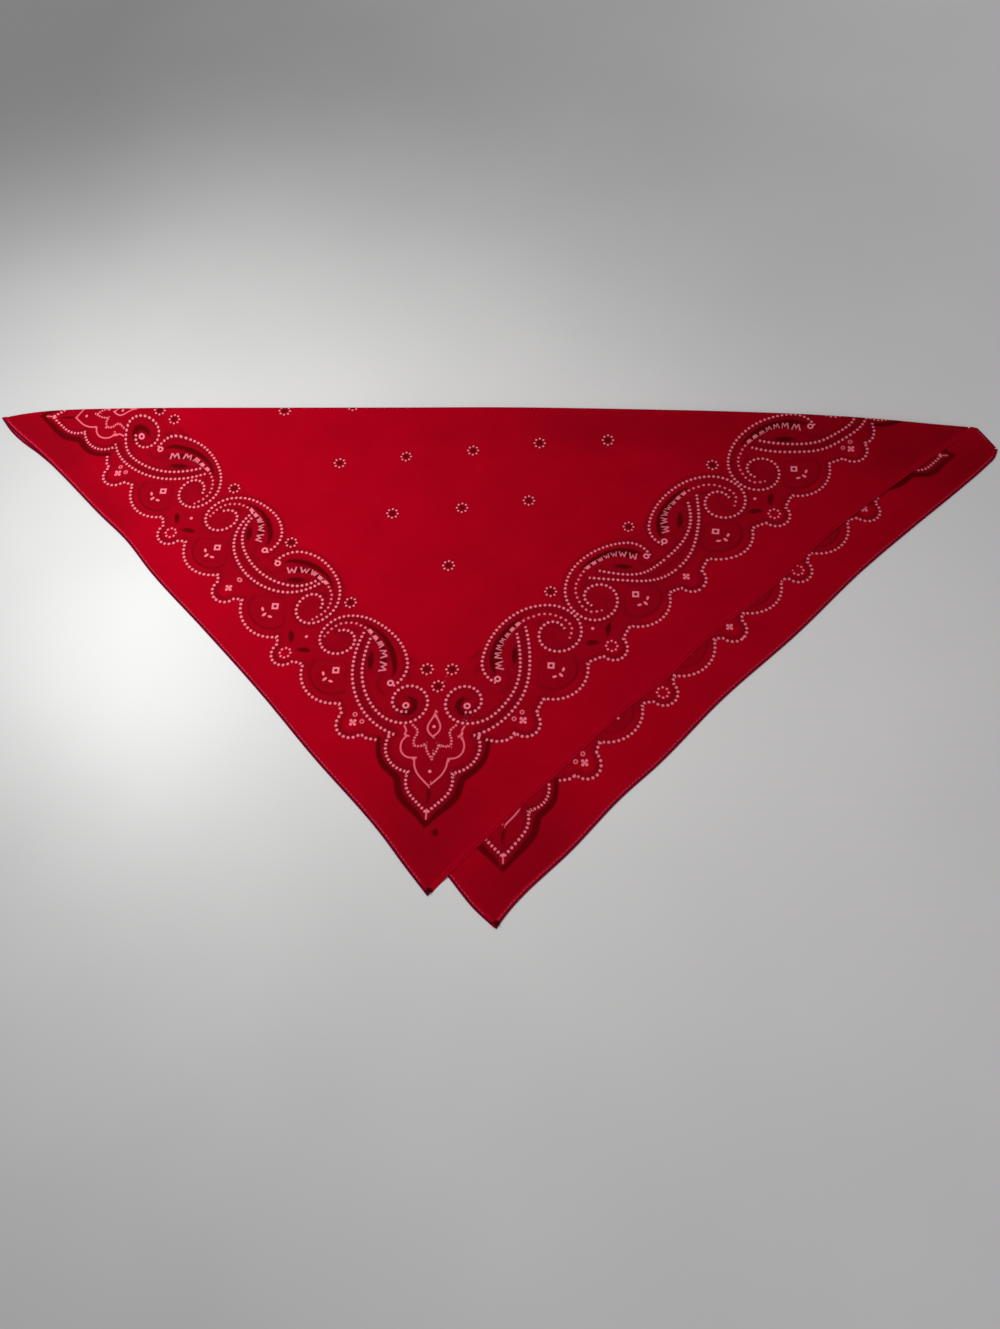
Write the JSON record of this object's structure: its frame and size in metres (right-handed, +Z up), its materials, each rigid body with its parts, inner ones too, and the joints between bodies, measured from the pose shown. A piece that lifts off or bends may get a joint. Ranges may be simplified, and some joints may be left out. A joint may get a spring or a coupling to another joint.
{
  "type": "folded bandana",
  "caption": "Red cotton bandana with a paisley border print, folded once nearly corner to corner and lying flat, its front leaf on its back leaf.",
  "frame": {"origin": "under the middle of the folded outline, on the plane that the bandana lies on", "axes": "+X along the fold from the pointed end to the blunt end, +Y from the loose corners to the fold, +Z up from the table"},
  "size_m": [0.7864, 0.4156, 0.006],
  "materials": {
    "cotton_face": "matt plain weave, printed",
    "cotton_reverse": "matt plain weave, print showing through",
    "cotton_hem": "matt turned hem"
  },
  "bodies": {
    "root": {"back_leaf": "cotton_reverse", "fold_turn": "cotton_face", "front_leaf": "cotton_face", "front_hem_left": "cotton_hem", "front_hem_lower": "cotton_hem", "back_hem_left": "cotton_hem", "back_hem_lower": "cotton_hem", "back_hem_end": "cotton_hem"}
  },
  "joints": []
}
